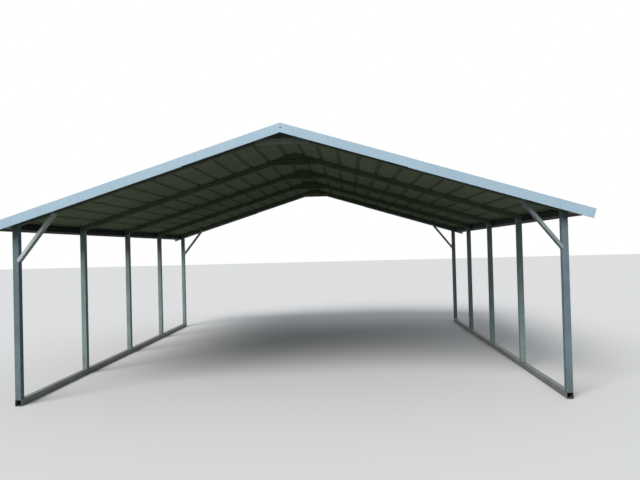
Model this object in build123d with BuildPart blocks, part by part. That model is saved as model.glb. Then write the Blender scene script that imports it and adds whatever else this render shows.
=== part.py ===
from build123d import *
import math
import os

# Open carport, eighteen feet wide: five bows of square steel tube stand on two
# ground rails, stiffened by channel braces, under a low gable of ribbed sheet.
# X runs across the gable, Y from the front gable to the back one, Z up.
# The origin lies on the ground in the middle of the plan. Sizes are in mm.

os.makedirs("parts", exist_ok=True)

# Plan and heights
frame_width = 5486.4
frame_length = 6096.0
bow_count = 5
leg_height = 1829.0
pitch_rise = 3.7
pitch_run = 12.0
peak_bend_radius = 380.0

# Square tube of rails, posts and bows
tube = 63.5
tube_wall = 2.1
tube_corner = 7.0

# Sleeves that the posts slip over, on the rails and under the bows
sleeve_fit = 0.25
sleeve_wall = 2.0
sleeve_length = 152.4

# Roof edge: how far the sheets reach past the posts and the end bows
eave_overhang = 196.8
gable_overhang = 152.4

# Ribbed sheets
sheet_thickness = 0.8
sheet_cover = 914.4
rib_pitch = 228.6
rib_height = 19.0
rib_base = 46.0
rib_top = 19.0
bead_height = 2.4
bead_base = 20.0
bead_top = 9.0
lap_gap = 0.15
end_gap = 0.4

# Channel braces
brace_thickness = 1.9
brace_bend = 3.5
brace_fit = 0.1
collar_length = 530.0
collar_flange = 50.0
king_stud = 38.1
king_stud_wall = 2.0
knee_length = 613.0
knee_angle = 51.6
knee_flange = 29.5

# Folded trim along the gables and the eaves
trim_thickness = 0.8
rake_face = 90.0
rake_flange = 76.0
rake_hem = 13.0
rake_lap = 60.0
rake_joint_long = 1290.0
rake_joint_short = 1036.0
rake_end_past_sheet = 9.0
eave_flange = 48.0
eave_drop = 30.0
eave_hem = 12.0

# Values that follow from the sizes above
pitch = math.atan(pitch_rise / pitch_run)
slope_x = math.cos(pitch)
slope_z = math.sin(pitch)
half_width = frame_width / 2
roof_half_width = half_width + eave_overhang
post_x = half_width - tube / 2
post_inner_x = half_width - tube
bow_spacing = (frame_length - tube) / (bow_count - 1)
bow_places = [bow_spacing * (n - (bow_count - 1) / 2) for n in range(bow_count)]
ridge_middle = leg_height + post_x * math.tan(pitch)
ridge_under = ridge_middle - tube / 2 / slope_x
ridge_over = ridge_middle + tube / 2 / slope_x
tube_inside = tube - 2 * tube_wall
sleeve = tube_inside - 2 * sleeve_fit
sleeve_inside = sleeve - 2 * sleeve_wall
roof_half_length = frame_length / 2 + gable_overhang
sheet_half_length = roof_half_length - 2 * trim_thickness - end_gap
slope_length = roof_half_width / slope_x


def under_rafter(x):
    """Height of the straight underside of a rafter at a distance from the middle."""
    return ridge_under - x * math.tan(pitch)


def on_slope(along, above, side=1):
    """Gable-plane point a distance down the roof slope and above the rafters."""
    x = along * slope_x + above * slope_z
    z = ridge_over - along * slope_z + above * slope_x
    return (side * x, z)


def save(shape, name):
    """Label a finished piece and write it as a STEP file."""
    shape.label = name
    export_step(shape, f"parts/{name}.step")


# Ground rails: one open-ended tube along each side
with BuildPart() as base_rail:
    with BuildSketch(Plane.XZ):
        with Locations((0, tube / 2)):
            RectangleRounded(tube, tube, tube_corner)
            Rectangle(tube_inside, tube_inside, mode=Mode.SUBTRACT)
    extrude(amount=frame_length / 2, both=True)

# Sleeves welded on top of the rails, one under each post
with BuildPart() as rail_sleeves:
    with BuildSketch(Plane.XY.offset(tube)):
        with Locations(*[(side * post_x, y) for side in (-1, 1) for y in bow_places]):
            Rectangle(sleeve, sleeve)
            Rectangle(sleeve_inside, sleeve_inside, mode=Mode.SUBTRACT)
    extrude(amount=sleeve_length)
save(rail_sleeves.part, "rail_sleeves")

# A post stands on the rail, round its sleeve. Its top is cut to the slope of the
# rafter that rests on it.
post_top = Plane(origin=(post_x, 0, under_rafter(post_x)), z_dir=(slope_z, 0, slope_x))
with BuildPart() as post:
    with BuildSketch(Plane.XY.offset(tube)):
        with Locations((post_x, 0)):
            RectangleRounded(tube, tube, tube_corner)
            Rectangle(tube_inside, tube_inside, mode=Mode.SUBTRACT)
    extrude(amount=under_rafter(post_inner_x) - tube)
    split(bisect_by=post_top, keep=Keep.BOTTOM)
left_post = mirror(post.part, about=Plane.YZ)

for side_name, side, side_post in (("left", -1, left_post), ("right", 1, post.part)):
    save(Pos(side * post_x, 0, 0) * base_rail.part, f"base_rail_{side_name}")
    for number, y in enumerate(bow_places, start=1):
        save(Pos(0, y, 0) * side_post, f"post_{side_name}_{number}")

# The eave tubes run along the outside of the post tops, from end bow to end bow.
# The lowest sheet passes just over the rounded outer corner of each.
eave_tube_x = half_width + tube / 2
corner_rise = tube_corner * (slope_x + slope_z - 1) / slope_x
eave_tube_top = ridge_over - (half_width + tube) * math.tan(pitch) + corner_rise - 0.1
with BuildPart() as eave_tubes:
    with BuildSketch(Plane.XZ):
        with Locations(*[(side * eave_tube_x, eave_tube_top - tube / 2) for side in (-1, 1)]):
            RectangleRounded(tube, tube, tube_corner)
            Rectangle(tube_inside, tube_inside, mode=Mode.SUBTRACT)
    extrude(amount=frame_length / 2, both=True)
save(eave_tubes.part, "eave_tubes")

# A bow is one tube bent at the peak. Its ends are cut plumb and butt the eave tubes,
# and under each end a sleeve goes down inside the post.
run_end_x = half_width + tube
run_end_z = ridge_middle - run_end_x * math.tan(pitch)
bend_centre = ridge_middle - peak_bend_radius / slope_x
bend_axis = Axis((0, 0, bend_centre), (0, 1, 0))
bend_start = (-peak_bend_radius * slope_z, 0, bend_centre + peak_bend_radius * slope_x)
straight_length = run_end_x / slope_x - peak_bend_radius * math.tan(pitch)
sleeve_foot = under_rafter(half_width) - sleeve_length


def bent_bar(size, corner):
    """Two straight runs and the bend between them, with one square section."""
    with BuildPart() as bar:
        for side in (-1, 1):
            run_plane = Plane(
                origin=(side * run_end_x, 0, run_end_z),
                x_dir=(0, 1, 0),
                z_dir=(-side * slope_x, 0, slope_z),
            )
            with BuildSketch(run_plane) as run_section:
                Rectangle(size, size)
                if corner > 0:
                    fillet(run_section.vertices(), corner)
            extrude(amount=straight_length)
        bend_plane = Plane(origin=bend_start, x_dir=(0, 1, 0), z_dir=(slope_x, 0, slope_z))
        with BuildSketch(bend_plane) as bend_section:
            Rectangle(size, size)
            if corner > 0:
                fillet(bend_section.vertices(), corner)
        revolve(axis=bend_axis, revolution_arc=2 * math.degrees(pitch))
    return bar.part


bow_skin = bent_bar(tube, tube_corner)
bow_bore = bent_bar(tube_inside, 0)


def sleeve_side(side, width, above):
    """Gable-plane outline of a bow's sleeve, up to a height above the rafter's underside."""
    inner = post_x - width / 2
    outer = post_x + width / 2
    return [
        (side * inner, sleeve_foot),
        (side * outer, sleeve_foot),
        (side * outer, under_rafter(outer) + above),
        (side * inner, under_rafter(inner) + above),
    ]


with BuildPart() as roof_bow:
    add(bow_skin)
    for side in (-1, 1):
        with BuildSketch(Plane.XZ):
            with BuildLine():
                Polyline(*sleeve_side(side, sleeve, 2 * tube_wall), close=True)
            make_face()
        extrude(amount=sleeve / 2, both=True)
    add(bow_bore, mode=Mode.SUBTRACT)
    for side in (-1, 1):
        with BuildSketch(Plane.XZ):
            with BuildLine():
                Polyline(*sleeve_side(side, sleeve_inside, 0), close=True)
            make_face()
        extrude(amount=sleeve_inside / 2, both=True, mode=Mode.SUBTRACT)
        bow_end = Plane(origin=(side * half_width, 0, 0), z_dir=(side, 0, 0))
        split(bisect_by=bow_end, keep=Keep.BOTTOM)

for number, y in enumerate(bow_places, start=1):
    save(Pos(0, y, 0) * roof_bow.part, f"roof_bow_{number}")


def channel(plane, length, flange):
    """Bent channel that clips over a tube: its web lies on the +y side of the plane."""
    inside = tube + 2 * brace_fit
    outside = inside + 2 * brace_thickness
    with BuildPart() as piece:
        with BuildSketch(plane):
            with BuildLine():
                FilletPolyline(
                    (-outside / 2, -flange),
                    (-outside / 2, brace_thickness),
                    (outside / 2, brace_thickness),
                    (outside / 2, -flange),
                    radius=brace_bend,
                )
                Polyline(
                    (outside / 2, -flange),
                    (inside / 2, -flange),
                    (inside / 2, 0),
                    (-inside / 2, 0),
                    (-inside / 2, -flange),
                    (-outside / 2, -flange),
                )
            make_face()
        extrude(amount=length)
    return piece.part


# Under the peak of each bow a level channel holds the two slopes together, with a
# short stud of square tube up to the bend
collar_level = under_rafter(collar_length / 2)
bend_under_radius = peak_bend_radius - tube / 2
stud_top = bend_centre + math.sqrt(bend_under_radius**2 - (king_stud / 2) ** 2)
collar_plane = Plane(origin=(-collar_length / 2, 0, collar_level), x_dir=(0, -1, 0), z_dir=(1, 0, 0))
collar_channel = channel(collar_plane, collar_length, collar_flange)

with BuildPart() as collar_brace:
    add(collar_channel)
    with BuildSketch(Plane.XY.offset(collar_level)):
        Rectangle(king_stud, king_stud)
        Rectangle(king_stud - 2 * king_stud_wall, king_stud - 2 * king_stud_wall, mode=Mode.SUBTRACT)
    extrude(amount=stud_top - collar_level)

for number, y in enumerate(bow_places, start=1):
    save(Pos(0, y, 0) * collar_brace.part, f"collar_brace_{number}")

# Knee braces at the four corners run from the inner face of a post to the rafter
knee_run = math.cos(math.radians(knee_angle))
knee_climb = math.sin(math.radians(knee_angle))
knee_top_x = post_inner_x - knee_length * knee_run
knee_foot_z = under_rafter(knee_top_x) - knee_length * knee_climb
knee_plane = Plane(
    origin=(post_inner_x, 0, knee_foot_z),
    x_dir=(0, 1, 0),
    z_dir=(-knee_run, 0, knee_climb),
)
knee_brace = channel(knee_plane, knee_length, knee_flange)
for end_name, y in (("front", bow_places[0]), ("back", bow_places[-1])):
    save(Pos(0, y, 0) * knee_brace, f"knee_brace_{end_name}_right")
    save(Pos(0, y, 0) * mirror(knee_brace, about=Plane.YZ), f"knee_brace_{end_name}_left")


def rib(centre, lift):
    """The four corners of a rib, at distances down the slope and above the rafters."""
    return [
        (centre - rib_base / 2, lift),
        (centre - rib_top / 2, lift + rib_height),
        (centre + rib_top / 2, lift + rib_height),
        (centre + rib_base / 2, lift),
    ]


def beads(start, limit=math.inf):
    """The two low beads between the rib at start and the next one, as far as the limit."""
    points = []
    for share in (1 / 3, 2 / 3):
        centre = start + share * rib_pitch
        if centre + bead_base / 2 > limit:
            break
        points += [
            (centre - bead_base / 2, 0),
            (centre - bead_top / 2, bead_height),
            (centre + bead_top / 2, bead_height),
            (centre + bead_base / 2, 0),
        ]
    return points


def lapped_edge(centre):
    """The lower edge of a sheet: it steps up and covers the next sheet's first rib."""
    rise = sheet_thickness / slope_x + lap_gap
    return [(centre - rib_base / 2 - rib_height / 4, 0)] + rib(centre - rise * slope_z, rise * slope_x)


def folded_sheet(lower_line):
    """Sheet from the outline of its underside, in gable-plane points left to right."""
    upper_line = [(x, z + sheet_thickness / slope_x) for x, z in lower_line]
    with BuildPart() as sheet:
        with BuildSketch(Plane.XZ):
            with BuildLine():
                Polyline(*lower_line, *reversed(upper_line), close=True)
            make_face()
        extrude(amount=sheet_half_length, both=True)
    return sheet.part


# The ridge sheet is bent over the peak in the middle of a pan, and its last rib on each
# side laps over the first sheet of the slope.
ribs_beside_ridge = round(sheet_cover / 2 / rib_pitch)
first_rib = (ribs_beside_ridge - 0.5) * rib_pitch
ridge_half = beads(-rib_pitch / 2)[4:]
for n in range(ribs_beside_ridge - 1):
    ridge_half += rib((n + 0.5) * rib_pitch, 0)
    ridge_half += beads((n + 0.5) * rib_pitch)
ridge_half += lapped_edge(first_rib)
right_line = [on_slope(along, above) for along, above in ridge_half]
left_line = [(-x, z) for x, z in reversed(right_line)]
save(folded_sheet(left_line + [on_slope(0, 0)] + right_line), "roof_sheet_ridge")

# Three sheets down each slope share its ribs; the lowest is cut off at the eave
level_names = ("upper", "middle", "lower")
ribs_in_cover = round((slope_length - first_rib) / len(level_names) / rib_pitch)
slope_cover = ribs_in_cover * rib_pitch
for level, level_name in enumerate(level_names):
    start = first_rib + level * slope_cover
    last_level = level == len(level_names) - 1
    bead_limit = slope_length - eave_flange if last_level else math.inf
    outline = rib(start, 0)
    for n in range(ribs_in_cover):
        rib_start = start + n * rib_pitch
        outline += beads(rib_start, bead_limit)
        if last_level and rib_start + rib_pitch + rib_base > slope_length:
            break
        if last_level or n + 1 < ribs_in_cover:
            outline += rib(rib_start + rib_pitch, 0)
    if last_level:
        outline += [(slope_length, 0)]
    else:
        outline += lapped_edge(start + slope_cover)
    for side_name, side in (("left", -1), ("right", 1)):
        line = [on_slope(along, above, side) for along, above in outline]
        save(folded_sheet(line), f"roof_sheet_{side_name}_{level_name}")

# Rake trim: a folded angle lies on the rib tops and hangs down over the sheet ends.
# Each slope has two lengths, and the upper one laps outside the lower one.
trim_seat = rib_height + 2 * sheet_thickness / slope_x + lap_gap + 0.1
trim_nest = trim_thickness + 0.1
rake_bottom = trim_seat + trim_thickness - rake_face


def rake_piece(start, end, nest):
    """Length of rake trim on the right front slope, between two slope distances."""
    t = trim_thickness
    top = trim_seat + trim_thickness + nest
    bottom = rake_bottom - nest
    plane = Plane(
        origin=(start * slope_x, -roof_half_length + trim_nest - nest, ridge_over - start * slope_z),
        x_dir=(0, 1, 0),
        z_dir=(slope_x, 0, -slope_z),
    )
    with BuildPart() as piece:
        with BuildSketch(plane):
            with BuildLine():
                Polyline(
                    (0, bottom),
                    (0, top),
                    (rake_flange, top),
                    (rake_flange, top - t),
                    (t, top - t),
                    (t, bottom + t),
                    (rake_hem, bottom + t),
                    (rake_hem, bottom),
                    close=True,
                )
            make_face()
        extrude(amount=end - start)
        if start < 0:
            split(bisect_by=Plane.YZ, keep=Keep.TOP)
    return piece.part


rake_end = slope_length + rake_end_past_sheet
for side_name, joint, turned_name in (
    ("right", rake_joint_long, "left"),
    ("left", rake_joint_short, "right"),
):
    upper = rake_piece(-rake_face, joint + rake_lap, trim_nest)
    lower = rake_piece(joint, rake_end, 0)
    if side_name == "left":
        upper = mirror(upper, about=Plane.YZ)
        lower = mirror(lower, about=Plane.YZ)
    save(upper, f"rake_trim_front_{side_name}_upper")
    save(lower, f"rake_trim_front_{side_name}_lower")
    save(Rot(0, 0, 180) * upper, f"rake_trim_back_{turned_name}_upper")
    save(Rot(0, 0, 180) * lower, f"rake_trim_back_{turned_name}_lower")

# Eave trim: a folded angle with its flange on the lowest pan and a plumb face
eave_top = sheet_thickness / slope_x + 0.1
eave_half_length = sheet_half_length - 1.0
flange_in = on_slope(slope_length - eave_flange, eave_top)
flange_out = on_slope(slope_length + 1.5, eave_top)
flange_out_over = (flange_out[0] + trim_thickness, flange_out[1] + trim_thickness)
flange_in_over = (flange_in[0], flange_in[1] + trim_thickness)
face_bottom = flange_out[1] - eave_drop
with BuildPart() as eave_trim:
    with BuildSketch(Plane.XZ):
        with BuildLine():
            Polyline(
                flange_in,
                flange_out,
                (flange_out[0], face_bottom + trim_thickness),
                (flange_out[0] - eave_hem, face_bottom + trim_thickness),
                (flange_out[0] - eave_hem, face_bottom),
                (flange_out[0] + trim_thickness, face_bottom),
                flange_out_over,
                flange_in_over,
                close=True,
            )
        make_face()
    extrude(amount=eave_half_length, both=True)

save(eave_trim.part, "eave_trim_right")
save(mirror(eave_trim.part, about=Plane.YZ), "eave_trim_left")
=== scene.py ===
# %% [markdown]
# # An open carport, in cells
# The carport is a steel frame with a low gable roof. Square tube makes the rails,
# posts and bows; bent channel braces the corners and the peak; ribbed sheet covers
# the slopes, and folded trim closes the edges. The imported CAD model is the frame:
# it says where each piece lies, and Blender gives each one its fine shape and finish.

# %% Load the frame
import math
import random

import bmesh
import bpy
from mathutils import Matrix, Vector


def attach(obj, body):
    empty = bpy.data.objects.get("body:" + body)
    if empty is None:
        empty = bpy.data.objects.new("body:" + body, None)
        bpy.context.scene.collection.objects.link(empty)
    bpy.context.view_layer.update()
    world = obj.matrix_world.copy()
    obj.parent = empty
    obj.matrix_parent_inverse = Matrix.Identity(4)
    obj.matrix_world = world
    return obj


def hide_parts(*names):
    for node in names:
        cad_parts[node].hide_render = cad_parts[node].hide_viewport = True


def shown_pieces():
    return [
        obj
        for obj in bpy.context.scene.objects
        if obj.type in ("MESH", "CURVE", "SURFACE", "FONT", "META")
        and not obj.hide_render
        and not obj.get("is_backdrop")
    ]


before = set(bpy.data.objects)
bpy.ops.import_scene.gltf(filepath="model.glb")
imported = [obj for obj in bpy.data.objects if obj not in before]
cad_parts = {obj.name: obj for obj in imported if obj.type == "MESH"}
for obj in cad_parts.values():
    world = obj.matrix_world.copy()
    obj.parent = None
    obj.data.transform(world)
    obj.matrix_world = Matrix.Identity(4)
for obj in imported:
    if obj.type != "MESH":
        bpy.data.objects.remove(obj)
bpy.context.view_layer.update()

# %% [markdown]
# ## Sizes
# The sizes are the same as in the CAD source, here in metres. X runs across the gable,
# Y from the front gable to the back, and Z up. They could be read off the CAD nodes one
# by one, but a rafter's underside and the sheets' underside are straight lines, so two
# small functions give every place on the roof exactly.

# %% Sizes of the frame
MM = 0.001
half_width = 2743.2 * MM
half_length = 3048 * MM
pitch = math.atan(3.7 / 12)
slope_x, slope_z = math.cos(pitch), math.sin(pitch)
tube, tube_wall, tube_corner = 63.5 * MM, 2.1 * MM, 7 * MM
bow_bend = 380 * MM
post_x = half_width - tube / 2
post_inner_x = half_width - tube
bow_spacing = (2 * half_length - tube) / 4
bow_places = [bow_spacing * (n - 2) for n in range(5)]
leg_height = 1829 * MM
ridge_middle = leg_height + post_x * math.tan(pitch)
ridge_under = ridge_middle - tube / 2 / slope_x
ridge_over = ridge_middle + tube / 2 / slope_x
side_overhang, gable_overhang = 196.8 * MM, 152.4 * MM
roof_half_width = half_width + side_overhang
roof_half_length = half_length + gable_overhang
slope_length = roof_half_width / slope_x
sides = (("left", -1), ("right", 1))
print("frame", round(2 * half_width, 3), "m wide, bows every", round(bow_spacing, 3), "m")


# %% Places on the roof
def under_rafter(x):
    """Height of a rafter's straight underside at a distance from the middle."""
    return ridge_under - x * math.tan(pitch)


def on_slope(along, above, side=1):
    """Gable-plane point (x, z) a distance down the slope and above the rafters."""
    x = along * slope_x + above * slope_z
    return side * x, ridge_over - along * slope_z + above * slope_x


# The eave tube's rounded corner touches the line of the rafters' tops, less a hair's gap
eave_gap = 0.1 * MM
eave_tube_x = half_width + tube / 2
eave_tube_top = (ridge_over - (half_width + tube) * math.tan(pitch)
                 + tube_corner * (slope_x + slope_z - 1) / slope_x - eave_gap)
print("ridge of the rafters at", round(ridge_over, 4), "m, eave tubes from",
      round(eave_tube_top - tube, 4), "to", round(eave_tube_top, 4))

# %% [markdown]
# ## Nodes in code
# Finishes and shapes are both built from nodes here. Each node could take four or five
# lines, one for every link and value. A helper that takes the inputs as a dictionary,
# and links a socket or sets a plain value, says the same in one line.


# %% Make a node with its inputs linked or set
def feed(tree, node, inputs):
    """Link each named input of a node to a socket, or give it a plain value."""
    for name, value in inputs.items():
        if isinstance(value, bpy.types.NodeSocket):
            tree.links.new(value, node.inputs[name])
        else:
            node.inputs[name].default_value = value
    return node


def add_node(tree, kind, inputs, mode=None):
    """New node, in a mode where it has several, with its inputs."""
    node = tree.nodes.new(kind)
    if mode:
        node.mode = mode
    return feed(tree, node, inputs)


def maths(tree, operation, first, second=0.0):
    """Result of a Math node; each input is a socket or a number."""
    node = tree.nodes.new("ShaderNodeMath")
    node.operation = operation
    return feed(tree, node, {0: first, 1: second}).outputs[0]


def times(tree, first, second):
    """Product of two patterns, or of a pattern and a number."""
    return maths(tree, "MULTIPLY", first, second)


def separate(tree, place):
    """The X, Y and Z of a place, by name."""
    return add_node(tree, "ShaderNodeSeparateXYZ", {"Vector": place}).outputs


print("node helpers:", [f.__name__ for f in (feed, add_node, maths, times, separate)])

# %% [markdown]
# ## Zinc finishes
# All the steel here is zinc coated. Hot zinc freezes in flat crystals, the spangle. Noise
# would blur them, but a Voronoi texture shows them well: each cell gets its own small
# change of brightness and gloss. Weather adds soft cloudy patches, faint runs, dust low
# down and a few rust specks. Every pattern reads Object coordinates, so it stays put on
# the steel. A scale counts features in a metre, and the two numbers after a pattern in
# spread() say which part of it goes from nothing to full strength.


# %% Start a material, and the patterns in it
def start_finish(name, roughness, metallic, specular):
    """New material; gives it, its tree, its Principled shader and Object coordinates."""
    finish = bpy.data.materials.new(name)
    finish.use_nodes = True
    tree = finish.node_tree
    shader = feed(tree, tree.nodes["Principled BSDF"], {
        "Roughness": roughness, "Metallic": metallic, "Specular IOR Level": specular})
    return finish, tree, shader, tree.nodes.new("ShaderNodeTexCoord").outputs["Object"]


def stretched(tree, place, scale):
    """Object coordinates multiplied by three numbers."""
    return add_node(tree, "ShaderNodeMapping", {"Vector": place, "Scale": scale}).outputs[0]


def noise_at(tree, place, scale, detail=3.0, roughness=0.55):
    """Cloudy pattern between 0 and 1."""
    return add_node(tree, "ShaderNodeTexNoise", {
        "Vector": place, "Scale": scale, "Detail": detail,
        "Roughness": roughness}).outputs["Fac"]


def spread(tree, value, low, high, to_low=0.0, to_high=1.0):
    """Stretch the part of a pattern between low and high over a new range."""
    return add_node(tree, "ShaderNodeMapRange", {
        "Value": value, "From Min": low, "From Max": high,
        "To Min": to_low, "To Max": to_high}).outputs["Result"]


print("patterns:", [f.__name__ for f in (stretched, noise_at, spread)])


# %% Colours, crystals and relief
def blend_colours(tree, share, first, second):
    """Mix two colours; each is a socket or three numbers, and the share a pattern."""
    node = tree.nodes.new("ShaderNodeMix")
    node.data_type = "RGBA"
    first, second = ((*c, 1.0) if isinstance(c, tuple) else c for c in (first, second))
    return feed(tree, node, {0: share, 6: first, 7: second}).outputs[2]


def shade_of(colour, factor):
    """A colour made brighter or darker."""
    return tuple(min(1.0, c * factor) for c in colour)


def spangle(tree, place, cells_per_metre):
    """Random brightness for each zinc crystal, 0 to 1."""
    cells = add_node(tree, "ShaderNodeTexVoronoi", {
        "Vector": place, "Scale": cells_per_metre, "Randomness": 1.0})
    return add_node(tree, "ShaderNodeSeparateColor",
                    {"Color": cells.outputs["Color"]}).outputs[0]


def finish_bump(tree, shader, height, depth):
    """Slight relief from a pattern, its depth in metres."""
    bump = add_node(tree, "ShaderNodeBump", {
        "Height": height, "Strength": 1.0, "Distance": depth})
    feed(tree, shader, {"Normal": bump.outputs["Normal"]})


print("a colour made darker:", [round(c, 2) for c in shade_of((0.3, 0.4, 0.4), 0.55)])

# %% Zinc-coated steel
rust_brown, dry_dust = (0.16, 0.07, 0.03), (0.17, 0.13, 0.085)
dust_reach = 320 * MM
crystals_per_metre, crystal_relief = 85.0, 0.04 * MM
run_x, run_y, run_z = (1.2, 6.0, 6.0), (6.0, 1.2, 6.0), (6.0, 6.0, 1.2)


def zinc_finish(name, bright, dull, roughness, specular, run, metallic=0.0):
    """Zinc-coated steel: spangle, clouds and runs, rust specks and dust near the ground."""
    finish, tree, shader, place = start_finish(name, roughness, metallic, specular)
    crystals = spangle(tree, place, crystals_per_metre)
    clouds = spread(tree, noise_at(tree, place, 5.0, 4.0), 0.35, 0.65)
    runs = spread(tree, noise_at(tree, stretched(tree, place, run), 7.0), 0.55, 0.72)
    colour = blend_colours(tree, clouds, dull, bright)
    colour = blend_colours(tree, times(tree, crystals, 0.22), colour, shade_of(bright, 1.45))
    colour = blend_colours(tree, times(tree, runs, 0.35), colour, shade_of(dull, 0.55))
    specks = spread(tree, noise_at(tree, place, 160.0, 2.0, 0.5), 0.66, 0.72)
    patches = spread(tree, noise_at(tree, place, 9.0, 2.0, 0.5), 0.56, 0.66)
    rust = times(tree, times(tree, specks, patches), 0.8)
    colour = blend_colours(tree, rust, colour, rust_brown)
    low_down = spread(tree, separate(tree, place)["Z"], dust_reach, 0.0)
    dust = times(tree, low_down, spread(tree, noise_at(tree, place, 14.0, 4.0), 0.3, 0.7))
    colour = blend_colours(tree, times(tree, dust, 0.65), colour, dry_dust)
    gloss = spread(tree, crystals, 0.0, 1.0, roughness - 0.07, roughness + 0.09)
    feed(tree, shader, {"Base Color": colour, "Roughness": gloss})
    finish_bump(tree, shader, crystals, crystal_relief)
    return finish


print("a crystal of the spangle is about", round(1 / crystals_per_metre / MM), "mm across")

# %% [markdown]
# One zinc bath, but not one look. The front posts are bluer. The tubes under the roof
# look darkest: the bows, the eave tubes and the inner peak braces have dark finishes that
# are painted shade, and the end peak braces a lighter copy that is painted light. The
# braces are strip steel with a paler coat, and the left corner ones a paler copy still,
# which is painted light. Lamps could be placed to bring that out, but the carport should
# look right under any light, so each group has its own finish. The darkest ones are also
# nearly matt, because a mirror-like underside would only show the pale floor.

# %% Finishes of the frame
post_zinc = zinc_finish("post_zinc", (0.30, 0.395, 0.385), (0.235, 0.315, 0.31),
                        0.55, 0.12, run_z)
front_zinc = zinc_finish("front_zinc", (0.19, 0.262, 0.302), (0.145, 0.203, 0.236),
                         0.55, 0.10, run_z)
# Painted shade: the bows get a dark olive finish for the shade they lie in under the roof.
shaded_bow_zinc = zinc_finish("shaded_bow_zinc", (0.215, 0.250, 0.220), (0.155, 0.184, 0.160),
                       0.66, 0.03, run_x)
# Painted shade: the eave tubes' near-black finish stands for the deep shade they lie in.
shaded_eave_zinc = zinc_finish("shaded_eave_zinc", (0.034, 0.042, 0.038), (0.022, 0.028, 0.025),
                        0.66, 0.03, run_y)
brace_zinc = zinc_finish("brace_zinc", (0.33, 0.395, 0.43), (0.26, 0.315, 0.345),
                         0.5, 0.15, run_z)
# Painted light: a paler copy of the brace finish, for the left corner braces.
lit_brace_zinc = zinc_finish("lit_brace_zinc", (0.64, 0.745, 0.75), (0.54, 0.635, 0.645),
                        0.5, 0.15, run_z)
# Painted shade and painted light: one steel, a dark copy for the inner peak braces and a
# lighter one for the end ones.
shaded_peak_zinc = zinc_finish("shaded_peak_zinc", (0.225, 0.245, 0.190), (0.160, 0.180, 0.137),
                        0.68, 0.03, run_x)
lit_end_peak_zinc = zinc_finish("lit_end_peak_zinc", (0.42, 0.46, 0.445), (0.31, 0.345, 0.325),
                            0.66, 0.05, run_x)
rail_zinc = zinc_finish("rail_zinc", (0.22, 0.26, 0.27), (0.15, 0.18, 0.18),
                        0.55, 0.5, (6.0, 1.0, 6.0), metallic=0.35)
print("zinc finishes:", [m.name for m in bpy.data.materials if m.name.endswith("_zinc")])

# %% [markdown]
# ## Sheet and trim finishes
# The roof sheets are pale blue-grey on top and a dull olive-grey below, which is what
# one sees from the ground; the green cast below is painted light, thrown up from beneath.
# The folded trim is the palest part, and its blue cast is painted sky light. Rain leaves
# runs down the slope, so those patterns are stretched along X. From below each rib is a
# crisp line. Its walls are only 14 mm wide and catch nearly the same light as the pans,
# so shading alone shows them softly. What draws the line here is painted shade: the
# colour of the rib walls is darkened. A pattern could be painted on by hand, but the
# distance to the nearest rib is simple arithmetic on the coordinates, so a few Math nodes
# find the walls.

# %% Find the nearest rib
rib_pitch, rib_height, rib_base, rib_top = 228.6 * MM, 19 * MM, 46 * MM, 19 * MM


def from_nearest_rib(tree, place):
    """Distance along the slope from each point to the middle of the nearest rib."""
    at = separate(tree, place)
    outward = maths(tree, "ADD", times(tree, maths(tree, "ABSOLUTE", at["X"]), slope_x),
                    ridge_over * slope_z)
    down_slope = maths(tree, "SUBTRACT", outward, times(tree, at["Z"], slope_z))
    from_pan = maths(tree, "PINGPONG", down_slope, rib_pitch / 2)
    return maths(tree, "SUBTRACT", rib_pitch / 2, from_pan)


print("the walls of a rib are", round((rib_base - rib_top) / 2 / MM, 1), "mm wide")

# %% Coated sheet
mottle_per_metre, grains_per_metre, grain_relief = 70.0, 420.0, 0.03 * MM
down_slope_runs, upright_runs, eave_runs, even_runs = (
    (0.8, 7.0, 0.8), (7.0, 7.0, 1.2), (7.0, 1.2, 7.0), (8.0, 8.0, 8.0))


def coated_finish(name, light, dark, roughness, metallic, specular,
                  runs, run_scale, wear_and_fold_shade, painted_fold_shade=0.0):
    """Coated sheet: clouds, runs, painted shade on the rib walls, and a fine orange-peel grain.
    """
    finish, tree, shader, place = start_finish(name, roughness, metallic, specular)
    clouds = noise_at(tree, place, 2.2, 4.0)
    colour = blend_colours(tree, spread(tree, clouds, 0.32, 0.68), dark, light)
    streaks = spread(tree, noise_at(tree, stretched(tree, place, run_scale), 9.0), 0.5, 0.75)
    colour = blend_colours(tree, times(tree, streaks, runs), colour, wear_and_fold_shade)
    mottle = spangle(tree, place, mottle_per_metre)
    colour = blend_colours(tree, times(tree, mottle, 0.10), colour, shade_of(light, 1.35))
    # Painted shade: the walls of each rib are darkened towards the wear colour.
    if painted_fold_shade:
        distance = from_nearest_rib(tree, place)
        beyond_top = spread(tree, distance, rib_top / 2 - MM, rib_top / 2 + MM)
        within_base = spread(tree, distance, rib_base / 2 + MM, rib_base / 2 - MM)
        walls = times(tree, beyond_top, within_base)
        colour = blend_colours(tree, times(tree, walls, painted_fold_shade), colour, wear_and_fold_shade)
    gloss = spread(tree, clouds, 0.3, 0.7, roughness + 0.06, roughness - 0.06)
    feed(tree, shader, {"Base Color": colour, "Roughness": gloss})
    finish_bump(tree, shader, noise_at(tree, place, grains_per_metre, 2.0), grain_relief)
    return finish


print("grain of the coat:", round(1 / grains_per_metre / MM, 1), "mm")

# %% Finishes of the sheets, the trim and the small parts
sheet_top = coated_finish("sheet_top", (0.50, 0.58, 0.63), (0.42, 0.49, 0.54),
                          0.42, 0.35, 0.5, 0.35, down_slope_runs, (0.27, 0.27, 0.24))
# The underside's green-grey cast is painted light, thrown up from below; its rib walls carry
# painted shade.
sheet_under = coated_finish("sheet_under", (0.550, 0.605, 0.545), (0.455, 0.505, 0.460),
                            0.75, 0.0, 0.0, 0.30, down_slope_runs, (0.27, 0.28, 0.24),
                            painted_fold_shade=0.65)
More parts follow.
